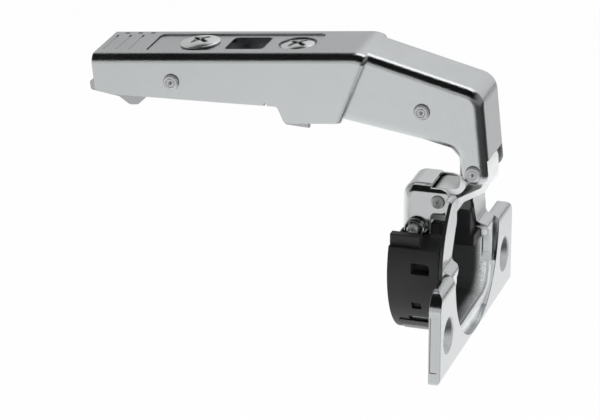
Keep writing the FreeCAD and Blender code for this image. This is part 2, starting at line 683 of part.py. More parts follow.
cheek_rounded = round_edges("cheek_rounded", cheek_blank, mm("bracket_roll"), is_bracket_bend)
inside_x = back_x + mm("bracket_sheet")
bracket_inside = across("bracket_inside", [
    (inside_x, mm("bracket_foot") - over, 0),
    (over, mm("bracket_foot") - over, 0),
    (over, mm("bracket_top") + over, 0),
    (-mm("roof_end"), mm("bracket_top") + over, 0),
    (-mm("roof_end"), mm("bracket_top") - mm("bracket_sheet"), 0),
    (inside_x, mm("bracket_top") - mm("bracket_sheet"), mm("bracket_bend") - mm("bracket_sheet"))],
    "sizes.bracket_half - sizes.bracket_sheet")
ear_band = across("ear_band", [
    (post_back - mm("ear_sheet"), mm("ear_low"), 0),
    (post_back, mm("ear_low"), 0),
    (post_back, mm("ear_high"), 0),
    (post_back - mm("ear_sheet"), mm("ear_high"), 0)], "sizes.ear_half")
bracket_blank = fuse("bracket_blank", cheek_rounded, ear_band)
upper_hole = bar("upper_hole", "sizes.upper_pin_radius + sizes.pin_fit", "sizes.upper_pivot_x",
                 "sizes.upper_pivot_z", "sizes.bracket_half + sizes.over")
lower_hole = bar("lower_hole", "sizes.lower_pin_radius + sizes.pin_fit", "sizes.lower_pivot_x",
                 "sizes.lower_pivot_z", "sizes.bracket_half + sizes.over")
node(cut("bracket", bracket_blank, bracket_inside, upper_hole, lower_hole), "pivot_bracket")

# Damper housing: moulded body with the recess, the links' pocket and room for the springs.
housing_back = -mm("housing_back")
housing_body = disc("housing_body", "sizes.housing_radius", "-sizes.housing_back",
                    "-sizes.rim_seat - sizes.housing_fit")
housing_keep = across("housing_keep", [
    (housing_back - over, -cup_radius, 0),
    (rim_back - fit, -cup_radius, 0),
    (rim_back - fit, -fit, 0),
    (post_back - fit, -fit, 0),
    (post_back - fit, mm("housing_top"), mm("pocket_round")),
    (housing_back - over, mm("housing_top"), 0)], "sizes.cup_radius")
housing_blank = common("housing_blank", housing_body, housing_keep)
tabs = []
for side, sign in (("near", -1), ("far", 1)):
    tabs.append(forward(side + "_tab", [
        (sign * mm("tab_in"), mm("housing_top") - over, 0),
        (sign * mm("tab_out"), mm("housing_top") - over, 0),
        (sign * mm("tab_out"), mm("tab_top"), 0),
        (sign * mm("tab_in"), mm("tab_top"), 0)], "-sizes.tab_back", "-sizes.tab_front"))
housing_tabbed = fuse("housing_tabbed", housing_blank, *tabs)
port = across("port", [
    (-mm("port_back"), mm("port_low"), 0),
    (-mm("port_front"), mm("port_low"), 0),
    (-mm("port_front"), mm("port_high"), mm("pocket_round")),
    (-mm("port_back"), mm("port_high"), 0)], "sizes.cup_radius")
vent = across("vent", [
    (-mm("vent_back"), mm("vent_low"), 0),
    (-mm("vent_front"), mm("vent_low"), 0),
    (-mm("vent_front"), mm("vent_high"), 0),
    (-mm("vent_back"), mm("vent_high"), 0)], "sizes.cup_radius")
port_core = across("port_core", [
    (housing_back, -cup_radius, 0),
    (over, -cup_radius, 0),
    (over, cup_radius, 0),
    (housing_back, cup_radius, 0)], "sizes.port_in")
ports = cut("ports", fuse("port_holes", port, vent), port_core)
band_outside = disc("band_outside", "sizes.cup_radius + sizes.over", "-sizes.housing_back - sizes.over",
                    "sizes.over")
band_inside = disc("band_inside", "sizes.cup_radius - sizes.skirt_sheet - sizes.housing_fit",
                   "-sizes.housing_back - 2 * sizes.over", "2 * sizes.over")
skirt_band = cut("skirt_band", band_outside, band_inside)
skirt_reach = across("skirt_reach", [
    (-mm("skirt_depth") - fit, -cup_radius - over, 0),
    (over, -cup_radius - over, 0),
    (over, -mm("skirt_chord") + fit, 0),
    (-mm("skirt_depth") - fit, -mm("skirt_chord") + fit, 0)], "sizes.cup_radius + sizes.over")
skirt_room = common("skirt_room", skirt_band, skirt_reach)
bracket_room = across("bracket_room", [
    (housing_back - over, mm("bracket_foot") - fit, 0),
    (over, mm("bracket_foot") - fit, 0),
    (over, mm("housing_top") + over, 0),
    (housing_back - over, mm("housing_top") + over, 0)], "sizes.bracket_half + sizes.housing_fit")
shoulder = -mm("shoulder_fall")
pocket = forward("pocket", recess_outline(mm("pan_sheet") + fit, shoulder), "-sizes.pocket_depth",
                 "sizes.over")
throat = forward("throat", [
    (-mm("throat_half"), shoulder - over, 0),
    (mm("throat_half"), shoulder - over, 0),
    (mm("throat_half"), mm("housing_top") + over, 0),
    (-mm("throat_half"), mm("housing_top") + over, 0)], "-sizes.pocket_depth", "sizes.over")
link_pocket = across("link_pocket", [
    (-mm("link_pocket_depth"), -mm("link_pocket_fall"), mm("pocket_round")),
    (over, -mm("link_pocket_fall"), 0),
    (over, mm("housing_top") + over, 0),
    (-mm("link_pocket_depth"), mm("housing_top") + over, 0)], "sizes.link_pocket_half")
spring_room = bar("spring_room", "sizes.spring_room", "sizes.lower_pivot_x", "sizes.lower_pivot_z",
                  "sizes.lower_pin_half + sizes.play")
slider_low = mm("slider_z") - mm("slider_height") / 2
slider_high = mm("slider_z") + mm("slider_height") / 2
play = mm("play")
slider_pocket = across("slider_pocket", [
    (-mm("slider_pocket"), slider_low - play, 0),
    (over, slider_low - play, 0),
    (over, slider_high + play, 0),
    (-mm("slider_pocket"), slider_high + play, 0)], "sizes.slider_half + sizes.play")
damper_bore = bar("damper_bore", "sizes.damper_radius + sizes.housing_fit", "sizes.damper_x",
                  "sizes.damper_z", "sizes.damper_half + sizes.housing_fit")
node(cut("housing", housing_tabbed, skirt_room, bracket_room, pocket, throat, link_pocket, spring_room,
         slider_pocket, damper_bore, ports), "damper_housing")

# Damper cylinder and the slider in front of it.
node(bar("damper", "sizes.damper_radius", "sizes.damper_x", "sizes.damper_z", "sizes.damper_half"),
     "damper_cylinder")
slider_face = -mm("slider_face")
node(across("slider", [
    (slider_face - mm("slider_length"), slider_low, mm("slider_heel")),
    (slider_face, slider_low, mm("slider_nose")),
    (slider_face, slider_high, mm("slider_nose")),
    (slider_face - mm("slider_length"), slider_high, mm("slider_heel"))], "sizes.slider_half"),
     "damper_slider")

# Cup pins, riveted in the bracket.
upper_half = mm("bracket_half") + mm("pin_proud")
node(turned("upper_pin", rivet(mm("upper_pin_radius"), upper_half), "sizes.upper_pivot_x",
            "sizes.upper_pivot_z"), "cup_pin_upper")
node(turned("lower_pin", rivet(mm("lower_pin_radius"), mm("lower_pin_half")), "sizes.lower_pivot_x",
            "sizes.lower_pivot_z"), "cup_pin_lower")

# Closing springs: one coil on each end of the lower cup pin.
near_coil = coil(mm("closing_wire"), mm("closing_coil"), mm("closing_pitch"), mm("closing_turns"),
                 mm("closing_start"))
far_coil = near_coil.mirror(FreeCAD.Vector(0, 0, 0), FreeCAD.Vector(0, 1, 0))
springs = doc.addObject("Part::Feature", "springs")
springs.Shape = Part.makeCompound([near_coil, far_coil])
bind(springs, Placement__Base__x="sizes.lower_pivot_x", Placement__Base__z="sizes.lower_pivot_z")
node(springs, "closing_springs")

# Outer link: plate from the eye on the lower cup pin, under the inner link, to the eye on the arm's end pin.
lower_x = mm("lower_pivot_x")
lower_z = mm("lower_pivot_z")
end_x = mm("end_pivot_x")
end_z = mm("end_pivot_z")
link_half = mm("link_sheet") / 2
outer_line = [
    (lower_x, lower_z + mm("lower_eye") - link_half),
    (mm("outer_low_x"), mm("outer_low_z")),
    (mm("outer_mid_x"), mm("outer_mid_z")),
    (mm("outer_high_x"), mm("outer_high_z")),
    (end_x + mm("end_eye") - link_half, end_z)]
outer_plate = across("outer_plate", strip(outer_line, mm("link_sheet"), mm("link_bend")),
                     "sizes.outer_link_half")
outer_low_eye = bar("outer_low_eye", "sizes.lower_eye", "sizes.lower_pivot_x", "sizes.lower_pivot_z",
                    "sizes.outer_link_half")
outer_end_eye = bar("outer_end_eye", "sizes.end_eye", "sizes.end_pivot_x", "sizes.end_pivot_z",
                    "sizes.outer_link_half")
outer_blank = fuse("outer_blank", outer_plate, outer_low_eye, outer_end_eye)
outer_low_bore = bar("outer_low_bore", "sizes.lower_pin_radius + sizes.pin_fit", "sizes.lower_pivot_x",
                     "sizes.lower_pivot_z", "sizes.outer_link_half + sizes.over")
outer_end_bore = bar("outer_end_bore", "sizes.arm_pin_radius + sizes.pin_fit", "sizes.end_pivot_x",
                     "sizes.end_pivot_z", "sizes.outer_link_half + sizes.over")
node(cut("outer", outer_blank, outer_low_bore, outer_end_bore), "outer_link")

# Inner link: plate from the eye on the upper cup pin, up behind the arm's end pin, to a fork.
# The fork is the opened pivot of the four-bar: it lets the arm's inner pin follow its true path.
tilt = math.radians(mm("arm_tilt"))
inner_x = end_x + mm("inner_pivot_u") * math.cos(tilt) - mm("inner_pivot_w") * math.sin(tilt)
inner_z = end_z + mm("inner_pivot_u") * math.sin(tilt) + mm("inner_pivot_w") * math.cos(tilt)
slot_x = math.cos(math.radians(mm("slot_angle")))
slot_z = math.sin(math.radians(mm("slot_angle")))
middle_x = inner_x + mm("slot_shift") * slot_x - mm("slot_side") * slot_z
middle_z = inner_z + mm("slot_shift") * slot_z + mm("slot_side") * slot_x
slot_radius = mm("arm_pin_radius") + mm("slot_play")


def fork(radius, end):
    """Corners of a slot of this radius, round at its foot and square at its end."""
    foot = -mm("slot_run") / 2 - radius
    corners = []
    for along, beside, bend in ((foot, -radius, radius * NEARLY), (end, -radius, 0), (end, radius, 0),
                                (foot, radius, radius * NEARLY)):
        x = middle_x + along * slot_x - beside * slot_z
        z = middle_z + along * slot_z + beside * slot_x
        corners.append((x, z, bend))
    return corners


inner_line = [
    (upper_x, upper_z + mm("upper_eye") - link_half),
    (mm("inner_neck_x"), upper_z + mm("upper_eye") - link_half),
    (mm("inner_neck_x"), mm("inner_neck_z")),
    (middle_x - slot_x * mm("slot_run") / 2, middle_z - slot_z * mm("slot_run") / 2)]
inner_plate = across("inner_plate", strip(inner_line, mm("link_sheet"), mm("link_bend")),
                     "sizes.inner_link_half")
inner_eye = bar("inner_eye", "sizes.upper_eye", "sizes.upper_pivot_x", "sizes.upper_pivot_z",
                "sizes.inner_link_half")
fork_end = mm("fork_reach") - mm("slot_shift")
slot_eye = across("slot_eye", fork(slot_radius + mm("slot_wall"), fork_end), "sizes.inner_link_half")
inner_blank = fuse("inner_blank", inner_plate, inner_eye, slot_eye)
inner_bore = bar("inner_bore", "sizes.upper_pin_radius + sizes.pin_fit", "sizes.upper_pivot_x",
                 "sizes.upper_pivot_z", "sizes.inner_link_half + sizes.over")
slot_bore = across("slot_bore", fork(slot_radius, fork_end + over), "sizes.inner_link_half + sizes.over")
node(cut("inner", inner_blank, inner_bore, slot_bore), "inner_link")

# Heights of the plate and the latch's pivot under the arm's top.
arm_top = mm("arm_top")
plate_low = arm_top - mm("plate_drop") - mm("plate_sheet")
latch_u = mm("latch_pivot_u")
latch_w = plate_low - mm("latch_drop")
LATCH_W = "(sizes.arm_top - sizes.plate_drop - sizes.plate_sheet - sizes.latch_drop)"
PLATE_HALF = "(sizes.arm_half - sizes.arm_sheet - sizes.plate_gap)"
plate_half = mm("arm_half") - mm("arm_sheet") - mm("plate_gap")

# Arm: cranked channel, straight wide part, joggle, narrow slope and front with the two lobes.
arm_sheet = mm("arm_sheet")
slope = (arm_top - mm("brow_w")) / (mm("brow_u") - mm("knee_u"))
slope_drop = arm_sheet * math.sqrt(1 + slope * slope)
crease_top_w = arm_top - slope * (mm("crease_top_u") - mm("knee_u"))
crease_lean = (mm("crease_top_u") - mm("crease_low_u")) / (crease_top_w - mm("heel_w"))
wide_blank = across("wide_blank", [
    (mm("arm_rear"), mm("rear_low_w"), mm("edge_round")),
    (mm("arm_rear"), arm_top, 0),
    (mm("knee_u"), arm_top, mm("knee_round")),
    (mm("crease_top_u"), crease_top_w, 0),
    (mm("crease_low_u"), mm("heel_w"), 0),
    (mm("step_u") + mm("step_run"), mm("heel_w"), mm("edge_round")),
    (mm("step_u"), mm("step_w"), mm("edge_round")),
    (mm("flank_u"), mm("flank_w"), 0),
    (mm("belly_u"), mm("belly_w"), mm("belly_round"))], "sizes.arm_half")


def is_wide_bend(edge):
    """Side edges of the straight part's top."""
    box = edge.BoundBox
    return box.YLength < TINY and box.ZMin > crease_top_w - TINY and box.XMax > mm("arm_rear") + TINY


wide_rolled = round_edges("wide_rolled", wide_blank, mm("arm_roll"), is_wide_bend)


def is_crease(edge):
    """Edges of the joggle's slanted face, without its lower one."""
    if edge.BoundBox.ZMax < mm("heel_w") + TINY:
        return False
    for point in edge.Vertexes:
        crease_u = mm("crease_low_u") + crease_lean * (point.Z - mm("heel_w"))
        if abs(point.X - crease_u) > TINY:
            return False
    return True


wide_rounded = round_edges("wide_rounded", wide_rolled, mm("crease_round"), is_crease)

crank_rear = mm("crease_low_u") - over
crank_blank = across("crank_blank", [
    (crank_rear, mm("heel_w"), 0),
    (crank_rear, arm_top, 0),
    (mm("knee_u"), arm_top, mm("knee_round")),
    (mm("brow_u"), mm("brow_w"), mm("brow_round")),
    (mm("brow_u"), -mm("nose_fall"), mm("nose_round")),
    (mm("nose_u"), -mm("nose_fall"), mm("nose_round")),
    (mm("nose_u"), mm("throat_w"), mm("throat_round")),
    (mm("chin_u"), mm("chin_w"), 0),
    (mm("crease_low_u"), mm("heel_w"), 0)], "sizes.crank_half")


def is_crank_bend(edge):
    """Side edges of the crank's top, slope and front."""
    box = edge.BoundBox
    flat = box.YLength < TINY
    above = box.ZMin > mm("heel_w") and box.XMax > crank_rear + TINY
    front = box.XMin > mm("brow_u") - TINY
    return flat and (above or front)


crank_rounded = round_edges("crank_rounded", crank_blank, mm("arm_roll"), is_crank_bend)

inside_low = -mm("nose_fall") - over
inside_brow_u = mm("brow_u") - arm_sheet
inside_knee_u = mm("knee_u") - (slope_drop - arm_sheet) / slope
inside_brow_w = arm_top - slope_drop - slope * (inside_brow_u - mm("knee_u"))
inside_crease_u = mm("crease_top_u") - arm_sheet * (1 + crease_lean)
inside_crease_w = arm_top - slope_drop - slope * (inside_crease_u - mm("knee_u"))
wide_inside = across("wide_inside", [
    (mm("arm_rear") - over, inside_low, 0),
    (mm("arm_rear") - over, arm_top - arm_sheet, 0),
    (inside_knee_u, arm_top - arm_sheet, mm("knee_round") - arm_sheet),
    (inside_crease_u, inside_crease_w, 0),
    (inside_crease_u - crease_lean * (inside_crease_w - inside_low), inside_low, 0)],
    "sizes.arm_half - sizes.arm_sheet")
crank_inside = across("crank_inside", [
    (crank_rear - over, inside_low, 0),
    (crank_rear - over, arm_top - arm_sheet, 0),
    (inside_knee_u, arm_top - arm_sheet, mm("knee_round") - arm_sheet),
    (inside_brow_u, inside_brow_w, mm("brow_round") - arm_sheet),
    (inside_brow_u, inside_low, 0)], "sizes.crank_half - sizes.arm_sheet")
web_cut = across("web_cut", [
    (inside_brow_u - over, inside_low, 0),
    (mm("brow_u") + over, inside_low, 0),
    (mm("brow_u") + over, mm("web_end_w"), 0),
    (inside_brow_u - over, mm("web_end_w"), 0)], "sizes.crank_half - sizes.arm_sheet")
window = upward("window", rectangle(mm("window_rear"), mm("window_front"), mm("window_half"),
                                    mm("window_corner")), "sizes.arm_top - 2 * sizes.arm_sheet",
                "sizes.arm_top + sizes.over")
end_hole = bar("end_hole", "sizes.arm_pin_radius + sizes.pin_fit", "0", "0", "sizes.arm_half + sizes.over")
inner_hole = bar("inner_hole", "sizes.arm_pin_radius + sizes.pin_fit", "sizes.inner_pivot_u",
                 "sizes.inner_pivot_w", "sizes.arm_half + sizes.over")
latch_hole = bar("latch_hole", "sizes.arm_pin_radius + sizes.pin_fit", "sizes.latch_pivot_u",
                 LATCH_W, "sizes.arm_half + sizes.over")
wall_notch = across("wall_notch", [
    (mm("notch_u"), mm("step_w") - over, 0),
    (mm("notch_u") + mm("notch_width"), mm("step_w") - over, 0),
    (mm("notch_u") + mm("notch_width"), mm("step_w") + mm("notch_height"), 0),
    (mm("notch_u"), mm("step_w") + mm("notch_height"), 0)], "sizes.arm_half + sizes.over")
top_marks = []
for k in range(int(mm("groove_count"))):
    groove_u = mm("groove_first") + k * mm("groove_pitch")
    pit_u = mm("pit_first") + k * mm("groove_pitch")
    groove = rectangle(groove_u, groove_u + mm("groove_width"), mm("groove_half"))
    top_marks.append(upward("groove_%d" % k, groove, "sizes.arm_top - sizes.groove_depth",
                            "sizes.arm_top + sizes.over"))
    top_marks.append(upward("pit_%d" % k, [
        (pit_u, mm("pit_at"), 0),
        (pit_u + mm("pit_length"), mm("pit_at"), 0),
        (pit_u + mm("pit_length"), mm("pit_at") + mm("pit_width"), 0),
        (pit_u, mm("pit_at") + mm("pit_width"), 0)], "sizes.arm_top - sizes.pit_depth",
        "sizes.arm_top + sizes.over"))
arm_blank = fuse("arm_blank", wide_rounded, crank_rounded)
on_arm(cut("arm", arm_blank, wide_inside, crank_inside, web_cut, window, end_hole, inner_hole, latch_hole,
           wall_notch, *top_marks), "hinge_arm")

# Pins of the arm, riveted in its walls.
TILT = "sizes.arm_tilt * 1 deg"
crank_pin_half = mm("crank_half") + mm("pin_proud")
latch_pin_half = mm("arm_half") + mm("pin_proud")
for label, u, w, half in (("arm_pin_outer", "0", "0", crank_pin_half),
                          ("arm_pin_inner", "sizes.inner_pivot_u", "sizes.inner_pivot_w", crank_pin_half),
                          ("latch_pin", "sizes.latch_pivot_u", LATCH_W, latch_pin_half)):
    pin_x = "sizes.end_pivot_x + %s * cos(%s) - %s * sin(%s)" % (u, TILT, w, TILT)
    pin_z = "sizes.end_pivot_z + %s * sin(%s) + %s * cos(%s)" % (u, TILT, w, TILT)
    node(turned(label + "_rivet", rivet(mm("arm_pin_radius"), half), pin_x, pin_z), label)

# Adjusting plate: flanged plate whose raised pad fills the window, its ears on the latch pin.
pad_top = "sizes.arm_top - sizes.pad_sink"
plate_top = "sizes.arm_top - sizes.plate_drop"
pad = upward("pad", rectangle(mm("window_rear") + mm("pad_gap"), mm("window_front") - mm("pad_gap"),
                              mm("window_half") - mm("pad_gap"), mm("window_corner") - mm("pad_gap")),
             plate_top, pad_top)
brim_rear = mm("window_rear") - mm("plate_margin")
brim_front = mm("window_front") + mm("plate_margin")
brim_low = plate_top + " - sizes.plate_sheet"
brim = upward("brim", rectangle(brim_rear, brim_front, plate_half), brim_low, plate_top)
ear_rear = latch_u - mm("plate_ear_half")
ear_front = latch_u + mm("plate_ear_half")
ear_low = latch_w - mm("plate_ear_fall")
ears = across("ears", [
    (ear_rear, ear_low, mm("plate_ear_round")),
    (ear_front, ear_low, mm("plate_ear_round")),
    (ear_front, arm_top - mm("plate_drop") - mm("plate_sheet") / 2, 0),
    (ear_rear, arm_top - mm("plate_drop") - mm("plate_sheet") / 2, 0)], PLATE_HALF)
ears_gap = across("ears_gap", [
    (ear_rear - over, ear_low - over, 0),
    (ear_front + over, ear_low - over, 0),
    (ear_front + over, plate_low, 0),
    (ear_rear - over, plate_low, 0)], PLATE_HALF + " - sizes.plate_sheet")
pad_hollow = upward("pad_hollow", rectangle(mm("window_rear") + mm("pad_gap") + mm("plate_sheet"),
                                            mm("window_front") - mm("pad_gap") - mm("plate_sheet"),
                                            mm("window_half") - mm("pad_gap") - mm("plate_sheet")),
                    plate_top + " - 2 * sizes.plate_sheet", pad_top + " - sizes.plate_sheet")
past_pad = pad_top + " + sizes.over"
cam_hole = post("cam_hole", "sizes.cam_shank + 2 * sizes.pin_fit", "sizes.cam_u", plate_top, past_pad)
side_hole = post("side_hole", "sizes.side_shank + 2 * sizes.pin_fit", "sizes.side_u", plate_top, past_pad)
dish = post("dish", "sizes.dish_radius", "sizes.side_u", pad_top + " - sizes.dish_depth", past_pad)
slot_corners = rectangle(mm("slot_rear"), mm("slot_front"), mm("slot_half"), mm("slot_corner"))
plate_slot = upward("plate_slot", slot_corners, plate_top, past_pad)
plate_hole = bar("plate_hole", "sizes.arm_pin_radius + sizes.pin_fit", "sizes.latch_pivot_u",
                 LATCH_W, "sizes.arm_half")
plate_blank = fuse("plate_blank", pad, brim, ears)
on_arm(cut("plate", plate_blank, ears_gap, pad_hollow, cam_hole, side_hole, dish, plate_slot, plate_hole),
       "adjust_plate")


# Depth cam and side screw, turning in the plate.
def cross(name, u, top):
    """Cross recess sunk from top at u."""
    reach = mm("cross_length") / 2
    width = mm("cross_width") / 2
    low = top + " - sizes.cross_depth"
    high = top + " + sizes.over"
    along = upward(name + "_along", rectangle(u - reach, u + reach, width), low, high)
    beside = upward(name + "_beside", rectangle(u - width, u + width, reach), low, high)
    return fuse(name, along, beside)


def is_head_rim(edge):
    """Upper round edge of a screw's head."""
    box = edge.BoundBox
    return box.ZLength < TINY and box.ZMin > arm_top - mm("pad_sink") + mm("cam_edge")


cam_top = pad_top + " + sizes.cam_height"
cam_head = post("cam_head", "sizes.cam_radius", "sizes.cam_u", pad_top, cam_top)
cam_bevelled = round_edges("cam_bevelled", cam_head, mm("cam_edge"), is_head_rim)
cam_shank = post("cam_shank", "sizes.cam_shank", "sizes.cam_u", plate_top + " - 0.5 * sizes.plate_sheet",
                 pad_top)
on_arm(cut("cam", fuse("cam_blank", cam_bevelled, cam_shank), cross("cam_cross", mm("cam_u"), cam_top)),
       "depth_cam_screw")
side_seat = pad_top + " - sizes.dish_depth"
side_top = side_seat + " + sizes.side_height"
side_head = post("side_head", "sizes.side_head", "sizes.side_u", side_seat, side_top)
side_shank = post("side_shank", "sizes.side_shank", "sizes.side_u", plate_top + " - 0.5 * sizes.plate_sheet",
                  side_seat)
on_arm(cut("side_screw", fuse("side_blank", side_head, side_shank),
           cross("side_cross", mm("side_u"), side_top)), "side_adjust_screw")

# Clip channel: slides under the plate, its front hooks reach out below the arm's walls.
clip_top = plate_low - mm("play")
CLIP_HALF = PLATE_HALF + " - sizes.plate_sheet - sizes.play"
tooth_u = mm("clip_front") - mm("hook_notch")
tooth_w = mm("hook_w") + mm("hook_tooth")
clip_blank = across("clip_blank", [
    (mm("clip_rear"), mm("clip_wall_w"), mm("clip_round")),
    (mm("clip_rear"), clip_top, 0),
    (mm("clip_front"), clip_top, 0),
    (mm("clip_front"), mm("hook_notch_w"), 0),
    (tooth_u, mm("hook_notch_w"), 0),
    (tooth_u, tooth_w, mm("hook_round")),
    (mm("clip_front"), tooth_w, 0),
    (mm("clip_front"), mm("hook_w"), 0),
    (mm("hook_rear"), mm("hook_w") + mm("hook_rise"), mm("clip_round")),
    (mm("hook_rear"), mm("clip_wall_w"), mm("clip_round"))], CLIP_HALF)
clip_inside = across("clip_inside", [
    (mm("clip_rear") - over, mm("hook_w") - over, 0),
    (mm("clip_rear") - over, clip_top - mm("clip_sheet"), 0),
    (mm("clip_front") + over, clip_top - mm("clip_sheet"), 0),
    (mm("clip_front") + over, mm("hook_w") - over, 0)], CLIP_HALF + " - sizes.clip_sheet")
on_arm(cut("clip", clip_blank, clip_inside), "clip_channel")

# Latch: two cheeks on the latch pin joined by the tail's end, with the lug below the arm.
boss = mm("latch_boss")
LATCH_HALF = PLATE_HALF + " - sizes.plate_sheet - sizes.latch_gap"
lug_top = mm("lug_w") + mm("lug_height")
latch_blank = across("latch_blank", [
    (latch_u + boss, latch_w - boss, boss * NEARLY),
    (latch_u + boss, latch_w + mm("latch_shoulder"), mm("latch_round")),
    (latch_u - boss, latch_w + mm("latch_shoulder"), mm("latch_round")),
    (mm("lug_front"), mm("latch_crest_w"), 0),
    (mm("arm_rear"), mm("latch_crest_w"), mm("latch_edge")),
    (mm("latch_tip_u"), mm("latch_tip_w") + mm("latch_tip_height"), mm("latch_edge")),
    (mm("latch_tip_u"), mm("latch_tip_w"), mm("latch_edge")),
    (mm("lug_rear"), lug_top, 0),
    (mm("lug_rear") + mm("lug_lean"), mm("lug_w"), mm("lug_round")),
    (mm("lug_front") - mm("lug_lean"), mm("lug_w"), mm("lug_round")),
    (mm("lug_front"), lug_top, 0)], LATCH_HALF)
latch_inside = across("latch_inside", [
    (mm("latch_tip_u") + mm("latch_sheet"), mm("lug_w") - over, 0),
    (mm("latch_tip_u") + mm("latch_sheet"), latch_w + boss + over, 0),
    (latch_u + boss + over, latch_w + boss + over, 0),
    (latch_u + boss + over, mm("lug_w") - over, 0)], LATCH_HALF + " - sizes.latch_sheet")
latch_bore = bar("latch_bore", "sizes.arm_pin_radius + sizes.pin_fit", "sizes.latch_pivot_u",
                 LATCH_W, "sizes.arm_half")
on_arm(cut("latch", latch_blank, latch_inside, latch_bore), "clip_latch")

# Latch spring: coil on the latch pin between the latch's cheeks.
latch_coil_length = mm("latch_pitch") * mm("latch_turns")
latch_coil = coil(mm("latch_wire"), mm("latch_coil"), mm("latch_pitch"), mm("latch_turns"),
                  -latch_coil_length / 2)
latch_coil.translate(FreeCAD.Vector(latch_u, 0, latch_w))
latch_spring = doc.addObject("Part::Feature", "latch_spring_coil")
latch_spring.Shape = Part.makeCompound([latch_coil])
on_arm(latch_spring, "latch_spring")

doc.recompute()
for thing in doc.Objects:
    if "Invalid" in thing.State or "Error" in thing.State:
        raise RuntimeError("%s failed: %s" % (thing.Name, thing.State))
for thing in NODES:
    if thing.Shape.isNull() or not thing.Shape.isValid():
        raise RuntimeError("%s has no valid shape" % thing.Label)

os.makedirs("parts", exist_ok=True)
for thing in NODES:
    thing.Shape.exportStep("parts/%s.step" % thing.Label)
    print("%-20s %8.1f mm3  solids %d" % (thing.Label, thing.Shape.Volume, len(thing.Shape.Solids)))
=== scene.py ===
import math

import bmesh
import bpy
import numpy as np
from mathutils import Matrix, Vector


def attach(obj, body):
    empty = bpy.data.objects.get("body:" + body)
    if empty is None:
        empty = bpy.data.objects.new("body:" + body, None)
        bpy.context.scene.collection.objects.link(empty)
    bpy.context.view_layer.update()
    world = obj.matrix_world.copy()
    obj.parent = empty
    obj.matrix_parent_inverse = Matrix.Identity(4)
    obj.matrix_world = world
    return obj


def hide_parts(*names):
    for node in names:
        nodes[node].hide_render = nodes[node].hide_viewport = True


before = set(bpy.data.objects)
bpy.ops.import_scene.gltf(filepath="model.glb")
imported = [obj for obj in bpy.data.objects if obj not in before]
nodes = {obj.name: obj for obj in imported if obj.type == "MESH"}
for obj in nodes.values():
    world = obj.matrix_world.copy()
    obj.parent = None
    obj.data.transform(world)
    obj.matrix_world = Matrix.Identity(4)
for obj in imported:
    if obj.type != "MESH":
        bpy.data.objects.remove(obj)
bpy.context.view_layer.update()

# Hinge cup
# The flange with its rim, posts, recess and skirt is one pressing of sheet steel, screwed to the door.
# It is nickel plated, and its faces are satin with a fine even grain.


class Shade:
    """One output of a material's node: arithmetic on it adds Math nodes, node() adds any other node."""

    def __init__(self, tree, output=None):
        self.tree = tree
        self.output = output

    def node(self, kind, settings=None, inputs=None, out=0):
        """Adds a node of this type: its settings first, then the values or links of its sockets."""
        made = self.tree.nodes.new(kind)
        for name, value in (settings or {}).items():
            setattr(made, name, value)
        for name, value in (inputs or {}).items():
            if isinstance(value, Shade):
                self.tree.links.new(value.output, made.inputs[name])
            else:
                made.inputs[name].default_value = value
        return Shade(self.tree, made.outputs[out])

    def maths(self, operation, first, second=0.0):
        """Adds a Math node with this operation on two values or links."""
        return self.node("ShaderNodeMath", {"operation": operation}, {0: first, 1: second})

    def __add__(self, other):
        return self.maths("ADD", self, other)

    __radd__ = __add__

    def __sub__(self, other):
        return self.maths("SUBTRACT", self, other)

    def __rsub__(self, other):
        return self.maths("SUBTRACT", other, self)

    def __mul__(self, other):
        return self.maths("MULTIPLY", self, other)

    __rmul__ = __mul__

    def __truediv__(self, other):
        return self.maths("DIVIDE", self, other)

    def __rtruediv__(self, other):
        return self.maths("DIVIDE", other, self)


MM = 0.001


def fade(shade, value, start, end, first=0.0, last=1.0):
    """Goes smoothly from first to last while value goes from start to end."""
    return shade.node("ShaderNodeMapRange", {"interpolation_type": "SMOOTHSTEP"},
                      {0: value, 1: start, 2: end, 3: first, 4: last})


def inside(shade, value, limit, blur):
    """Mask that is 1 up to the limit and falls to 0 over the blur beyond it.

    A positive blur lies above the limit, and a negative one below it.
    """
    return fade(shade, value, limit + blur, limit)


def blend_colours(shade, share, low, high):
    """Colour that goes from low to high as share goes from 0 to 1, each a colour or a link."""
    ends = [end if isinstance(end, Shade) else (*end, 1) for end in (low, high)]
    return shade.node("ShaderNodeMix", {"data_type": "RGBA"}, {0: share, 6: ends[0], 7: ends[1]}, out=2)


def parts_of(shade, place):
    """The three coordinates of a place."""
    return [shade.node("ShaderNodeSeparateXYZ", inputs={0: place}, out=axis) for axis in range(3)]


def grain(shade, place, size, detail=2.0):
    """Noise of features about this size, in metres, between 0 and 1."""
    return shade.node("ShaderNodeTexNoise", {}, {"Vector": place, "Scale": 1 / size, "Detail": detail})


def new_material(name):
    """New material: the material, its node tree as a Shade, and its principled shader."""
    material = bpy.data.materials.new(name)
    material.use_nodes = True
    tree = material.node_tree
    return material, Shade(tree), tree.nodes["Principled BSDF"]


NOOK_SHADE_COLOUR = (0.01, 0.01, 0.01)
NOOK_SHADE_REACH = 1.6 * MM
WAVE_LENGTH = 5 * MM
WAVE_HEIGHT = 0.05 * MM
SAMPLES = 6


